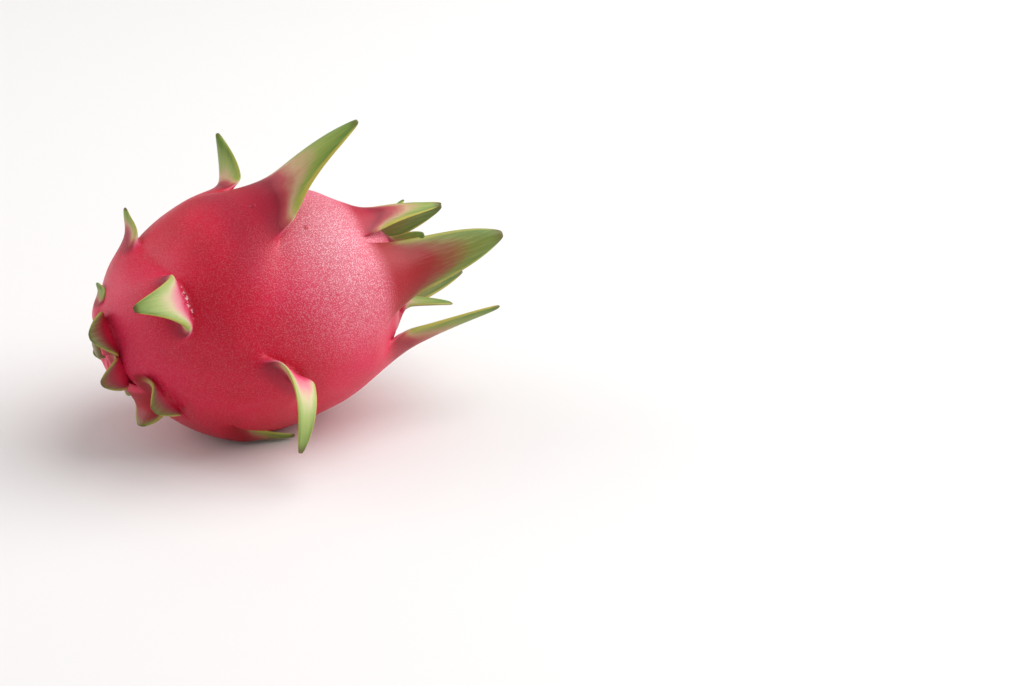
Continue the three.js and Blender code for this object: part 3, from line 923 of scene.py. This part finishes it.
fibre_sockets = [
    ("Fibres", "NodeSocketInt", 46),
    ("Ring radius", "NodeSocketFloat", 0.0030),
    ("Length", "NodeSocketFloat", 0.011),
    ("Thickness", "NodeSocketFloat", 0.00022),
    ("Seed", "NodeSocketInt", 11),
    ("Straw", "NodeSocketMaterial", None),
]
fibre_tree = new_tree("withered_fibres", fibre_sockets)
given = grow(fibre_tree, "NodeGroupInput").outputs
ring = grow(
    fibre_tree,
    "GeometryNodeMeshCircle",
    {"Vertices": given["Fibres"], "Radius": given["Ring radius"]},
)
rise = grow(fibre_tree, "ShaderNodeCombineXYZ", {"Z": given["Length"]})
bow = grow(
    fibre_tree,
    "ShaderNodeVectorMath",
    {0: rise.outputs[0], 1: (0.45, 0.12, 0.55)},
    operation="MULTIPLY",
)
side = grow(
    fibre_tree,
    "ShaderNodeCombineXYZ",
    {
        "X": grow(
            fibre_tree, "ShaderNodeMath", {0: given["Length"], 1: 0.35}, operation="MULTIPLY"
        ).outputs[0]
    },
)
lean = grow(
    fibre_tree, "ShaderNodeVectorMath", {0: bow.outputs[0], 1: side.outputs[0]}, operation="ADD"
)
strand = grow(
    fibre_tree,
    "GeometryNodeCurveQuadraticBezier",
    {"Resolution": 6, "Start": (0, 0, 0), "Middle": lean.outputs[0], "End": rise.outputs[0]},
)
section = grow(
    fibre_tree, "GeometryNodeCurvePrimitiveCircle", {"Resolution": 5, "Radius": given["Thickness"]}
)
thread = grow(
    fibre_tree,
    "GeometryNodeCurveToMesh",
    {
        "Curve": strand.outputs[0],
        "Profile Curve": section.outputs["Curve"],
        "Fill Caps": True,
    },
)
turns = grow(
    fibre_tree,
    "FunctionNodeRandomValue",
    {"Min": (-0.5, -0.5, -3.14), "Max": (0.5, 0.5, 3.14), "Seed": given["Seed"]},
    data_type="FLOAT_VECTOR",
)
spans = grow(
    fibre_tree,
    "FunctionNodeRandomValue",
    {2: 0.45, 3: 1.0, "Seed": given["Seed"]},
    data_type="FLOAT",
)
tuft = grow(
    fibre_tree,
    "GeometryNodeInstanceOnPoints",
    {
        "Points": ring.outputs["Mesh"],
        "Instance": thread.outputs["Mesh"],
        "Rotation": turns.outputs["Value"],
        "Scale": spans.outputs[1],
    },
)
solid_tuft = grow(fibre_tree, "GeometryNodeRealizeInstances", {0: tuft.outputs["Instances"]})
shown = grow(
    fibre_tree,
    "GeometryNodeSetMaterial",
    {"Geometry": solid_tuft.outputs[0], "Material": given["Straw"]},
)
grow(fibre_tree, "NodeGroupOutput", {0: shown.outputs[0]})
empty_mesh = bpy.data.meshes.new("tuft_source")
fibres = grown_piece("withered_fibres", empty_mesh, fibre_tree, {"Straw": straw_finish})

crown_x, _, crown_z = outline(LAST_ALONG)
stub_top = np.array([crown_x - CROWN_DIMPLE + 5.5, 0, crown_z])
crown_place = Vector(
    (
        (stub_top[0] * cos - stub_top[2] * sin) * MM + slide[0],
        slide[1],
        (stub_top[0] * sin + stub_top[2] * cos + STEM_HEIGHT) * MM,
    )
)
tilt = Matrix.Rotation(math.pi / 2 - AXIS_CLIMB, 4, "Y")
fibres.data.transform(Matrix.Translation(crown_place) @ tilt)
print(len(fibres.data.polygons), "faces of fibre at", tuple(round(c, 4) for c in crown_place))

# %% [markdown]
# ## Hand the pieces to the frame
# Every piece rides on the one body there is. The peel stands for the imported solid, which is then
# hidden.

# %% Ride and replace
for piece in (peel, beads, fibres):
    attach(piece, "root")
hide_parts("fruit")
print("pieces:", [piece.name for piece in (peel, beads, fibres)])

# %% [markdown]
# ## Floor and light
# The fruit lies on plain white, under one large soft light above and to the right, with a weaker
# one low at each side, and white all round to fill the shadows. Lamps with a small face would
# give hard shadows, which a light box doesn't. The floor is wide enough to be the background.

# %% Set the stage
floor_mesh = bpy.data.meshes.new("floor")
HALF = 6  # metres
floor_mesh.from_pydata(
    [(-HALF, -HALF, 0), (HALF, -HALF, 0), (HALF, HALF, 0), (-HALF, HALF, 0)], [], [(0, 1, 2, 3)]
)
floor = bpy.data.objects.new("floor", floor_mesh)
bpy.context.scene.collection.objects.link(floor)
white = Recipe("white_surface")
floor_mesh.materials.append(white.finish(Base_Color=linear(232, 230, 229), Roughness=0.6))

world = bpy.data.worlds.new("studio")
bpy.context.scene.world = world
world.use_nodes = True
background = world.node_tree.nodes["Background"]
background.inputs["Color"].default_value = (1, 1, 1, 1)
background.inputs["Strength"].default_value = 0.47

CAMERA_AZIMUTH, CAMERA_ELEVATION = math.radians(-18), math.radians(22)
middle = np.array([math.cos(AXIS_CLIMB), 0, math.sin(AXIS_CLIMB)]) * BODY_LENGTH / 2
aim = Vector((middle + [0, 0, STEM_HEIGHT]) * MM + slide)
az, el = CAMERA_AZIMUTH, CAMERA_ELEVATION
toward_camera = Vector((math.sin(az) * math.cos(el), -math.cos(az) * math.cos(el), math.sin(el)))
right = Vector((math.cos(az), math.sin(az), 0))
forward = Vector((-math.sin(az), math.cos(az), 0))


def soft_light(name, direction, distance, size, power):
    """A round area light that looks at the fruit from a direction; metres and watts."""
    data = bpy.data.lights.new(name, "AREA")
    data.shape, data.size, data.energy = "DISK", size, power
    made = bpy.data.objects.new(name, data)
    bpy.context.scene.collection.objects.link(made)
    made.location = aim + direction.normalized() * distance
    made.rotation_euler = direction.to_track_quat("Z", "Y").to_euler()


up = Vector((0, 0, 1))
soft_light("key", right * 0.6 + forward * 0.1 + up * 0.8, distance=1.3, size=1.6, power=16.5)
soft_light("right side", right + forward * 0.2 + up * 0.35, distance=1.4, size=1.4, power=9)
soft_light("left side", right * -1 + forward * 0.3 + up * 0.4, distance=1.6, size=1.4, power=11)
print("three lights and a white world set")

# %% [markdown]
# ## Camera
# The camera looks down a little on the fruit's side, from nearer its stem end, through a long
# lens, so the near and far ends keep their true proportions. The fruit belongs at the left of the
# picture. A shifted lens would put it there, but would stay shifted in every other view, so the
# camera is turned instead, until the middle of the fruit falls on the right pixel.

# %% Place the camera
LENS, SENSOR, DISTANCE = 95, 36, 0.9
WIDTH, HEIGHT = 1024, 686
AIM_PIXEL = (252, 309)
camera_data = bpy.data.cameras.new("camera")
camera_data.lens = LENS
camera = bpy.data.objects.new("camera", camera_data)
bpy.context.scene.collection.objects.link(camera)
camera.location = aim + toward_camera * DISTANCE
focal = LENS / SENSOR * WIDTH
yaw = math.atan((AIM_PIXEL[0] - WIDTH / 2) / focal)
pitch = math.atan((HEIGHT / 2 - AIM_PIXEL[1]) / focal)
look = (-toward_camera).to_track_quat("-Z", "Y").to_matrix().to_4x4()
turned = Matrix.Rotation(yaw / math.cos(el), 4, "Z") @ look @ Matrix.Rotation(-pitch, 4, "X")
camera.rotation_euler = turned.to_euler()
bpy.context.scene.camera = camera
bpy.context.scene.view_settings.view_transform = "Standard"
print("camera at", tuple(round(c, 3) for c in camera.location))
